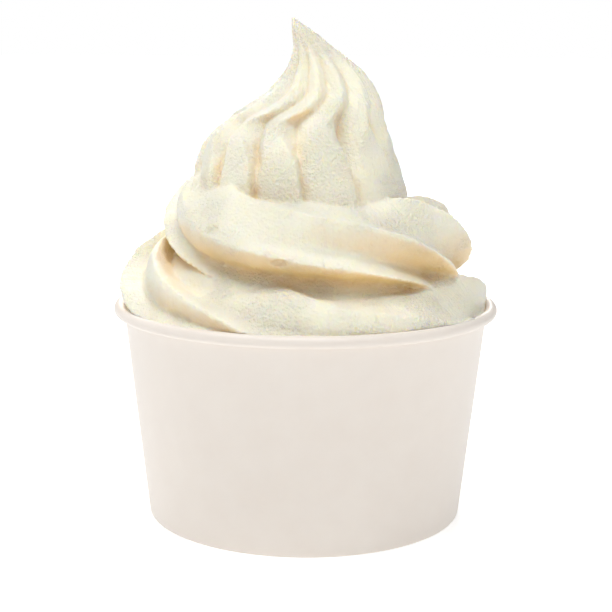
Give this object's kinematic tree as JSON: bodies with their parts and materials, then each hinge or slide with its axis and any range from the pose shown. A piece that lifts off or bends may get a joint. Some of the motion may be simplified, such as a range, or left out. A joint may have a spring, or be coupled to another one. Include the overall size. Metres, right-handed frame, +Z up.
{
  "type": "frozen yogurt cup",
  "caption": "Plain frozen yogurt swirled high in a squat white paper cup with a rolled rim, ending in a bent peak.",
  "frame": {"origin": "centre of the foot ring, in the plane the cup stands on", "axes": "+Z up along the cup's axis, -Y towards the front of the swirl, +X to the right seen from the front"},
  "size_m": [0.096, 0.096, 0.1242],
  "materials": {
    "white_paperboard": "smooth coated white paperboard, soft satin sheen",
    "white_base_board": "coated white paperboard, matt",
    "plain_frozen_yogurt": "cream coloured frozen yogurt, soft, moist and slightly translucent"
  },
  "bodies": {
    "root": {"cup_sidewall": "white_paperboard", "cup_base": "white_base_board", "frozen_yogurt": "plain_frozen_yogurt"}
  },
  "joints": []
}
